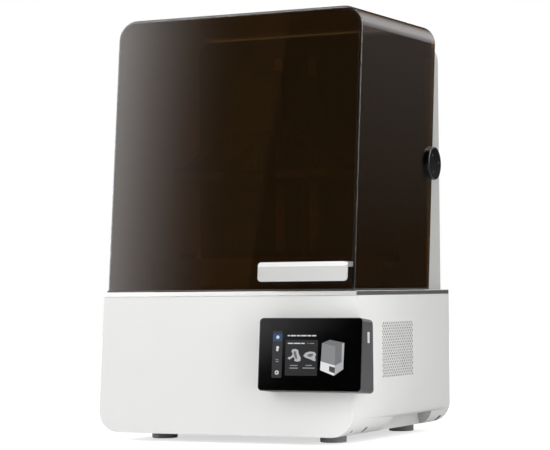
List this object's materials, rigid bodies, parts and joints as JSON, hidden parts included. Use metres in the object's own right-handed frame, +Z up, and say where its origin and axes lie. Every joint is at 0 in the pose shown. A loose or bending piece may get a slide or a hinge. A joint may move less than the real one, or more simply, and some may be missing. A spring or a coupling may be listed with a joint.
{
  "type": "resin 3d printer",
  "caption": "Desktop vat-photopolymer printer with a flip-up smoked cover, leaning front, offset touchscreen, lift column, twin build plates and resin vat.",
  "frame": {"origin": "on the ground, under the middle of the deck; the four feet's spread has its middle 11 mm behind it", "axes": "+X to the printer's right as seen from its front, +Y to the back, +Z up"},
  "size_m": [0.3764, 0.3492, 0.5395],
  "materials": {
    "white_abs": "fine moulded texture, white ABS",
    "grey_abs": "fine moulded texture, pale grey ABS",
    "dark_abs": "fine moulded texture, dark ABS",
    "black_abs": "satin black ABS",
    "screen_abs": "fine moulded texture, dark grey ABS",
    "trim_abs": "satin grey ABS",
    "red_abs": "gloss red plastic",
    "foot_rubber": "dull dark grey rubber",
    "satin_deck": "satin metal sheet",
    "smoked_acrylic": "polished smoked brown acrylic",
    "panel_glass": "polished black glass",
    "clear_lens": "clear moulded lens sheet",
    "clear_film": "clear release film",
    "raw_aluminium": "bead-blasted and anodised aluminium",
    "dark_aluminium": "dark anodised aluminium",
    "ground_steel": "ground steel",
    "dark_steel": "black coated steel",
    "zinc_steel": "zinc plated steel",
    "brass": "turned brass",
    "white_board": "white solder mask",
    "green_board": "green solder mask",
    "filter_mesh": "pleated filter"
  },
  "bodies": {
    "base": {"base_shell": "white_abs", "front_panel": "white_abs", "rear_panel": "white_abs", "feet": "foot_rubber", "deck_plate": "satin_deck", "rear_housing": "grey_abs", "housing_front": "dark_abs", "air_filter": "filter_mesh", "chamber_fan_frame": "black_abs", "hinge_bearings": "dark_steel", "lcd_glass": "panel_glass", "lcd_panel": "panel_glass", "light_tunnel": "black_abs", "lens_sheet": "clear_lens", "led_board": "white_board", "heat_sink": "raw_aluminium", "exposure_fan_frame": "black_abs", "mainboard": "green_board", "board_standoffs": "brass", "power_supply": "zinc_steel", "power_inlet": "black_abs", "screen_housing": "screen_abs", "screen_glass": "panel_glass", "display_panel": "panel_glass", "usb_socket": "zinc_steel", "z_column": "dark_aluminium", "linear_rails": "ground_steel", "column_cap": "dark_aluminium", "z_motor": "dark_steel", "vat_posts": "dark_aluminium", "panel_screws": "zinc_steel"},
    "cover": {"cover_shell": "smoked_acrylic", "cover_front": "smoked_acrylic", "cover_trim": "trim_abs", "cover_handle": "white_abs", "hinge_pins": "ground_steel", "hinge_knobs": "black_abs"},
    "carriage": {"bearing_blocks": "ground_steel", "carriage_plate": "dark_aluminium", "screw_nut": "brass", "clamp_block": "dark_aluminium", "platform_bridge": "dark_aluminium", "build_plates": "raw_aluminium"},
    "platform_knob": {"clamp_knob": "black_abs"},
    "screw": {"screw_coupling": "raw_aluminium", "lead_screw": "ground_steel"},
    "vat": {"vat_body": "raw_aluminium", "vat_film": "clear_film", "film_frame": "raw_aluminium"},
    "left_thumbscrew": {"thumbscrew_left": "black_abs"},
    "right_thumbscrew": {"thumbscrew_right": "black_abs"},
    "exposure_fan": {"exposure_fan_rotor": "black_abs"},
    "chamber_fan": {"chamber_fan_rotor": "black_abs"},
    "rocker": {"power_rocker": "red_abs"}
  },
  "joints": [
    {"name": "cover_hinge", "type": "hinge", "parent": "base", "child": "cover", "pos_m": [0, 0.108, 0.3545], "axis": [-1, 0, 0], "range_deg": [0, 80]},
    {"name": "lift_slide", "type": "slide", "parent": "base", "child": "carriage", "axis": [0, 0, 1], "range_m": [-0.136, 0.054]},
    {"name": "screw_turn", "type": "hinge", "parent": "base", "child": "screw", "pos_m": [0, 0.077, 0.3035], "axis": [0, 0, 1], "range_deg": [-4900, 12300]},
    {"name": "knob_turn", "type": "hinge", "parent": "carriage", "child": "platform_knob", "pos_m": [0, -0.021, 0.4635], "axis": [0, 0, 1], "range_deg": [0, 720]},
    {"name": "vat_lift", "type": "slide", "parent": "base", "child": "vat", "axis": [0, 0, 1], "range_m": [0, 0.04]},
    {"name": "left_thumbscrew_turn", "type": "hinge", "parent": "vat", "child": "left_thumbscrew", "pos_m": [-0.147, 0.021, 0.2235], "axis": [0, 0, 1], "range_deg": [0, 1080]},
    {"name": "right_thumbscrew_turn", "type": "hinge", "parent": "vat", "child": "right_thumbscrew", "pos_m": [0.147, 0.021, 0.2235], "axis": [0, 0, 1], "range_deg": [0, 1080]},
    {"name": "exposure_fan_spin", "type": "hinge", "parent": "base", "child": "exposure_fan", "pos_m": [0, -0.031, 0.0655], "axis": [0, 0, 1], "continuous": true},
    {"name": "chamber_fan_spin", "type": "hinge", "parent": "base", "child": "chamber_fan", "pos_m": [-0.103, 0.115, 0.2655], "axis": [0, 1, 0], "continuous": true},
    {"name": "rocker_tilt", "type": "hinge", "parent": "base", "child": "rocker", "pos_m": [0.118, 0.15, 0.0805], "axis": [1, 0, 0], "range_deg": [0, 16]}
  ],
  "couplings": [
    {"joint": "screw_turn", "follows": "lift_slide", "rad_per_m": -1570.8}
  ]
}
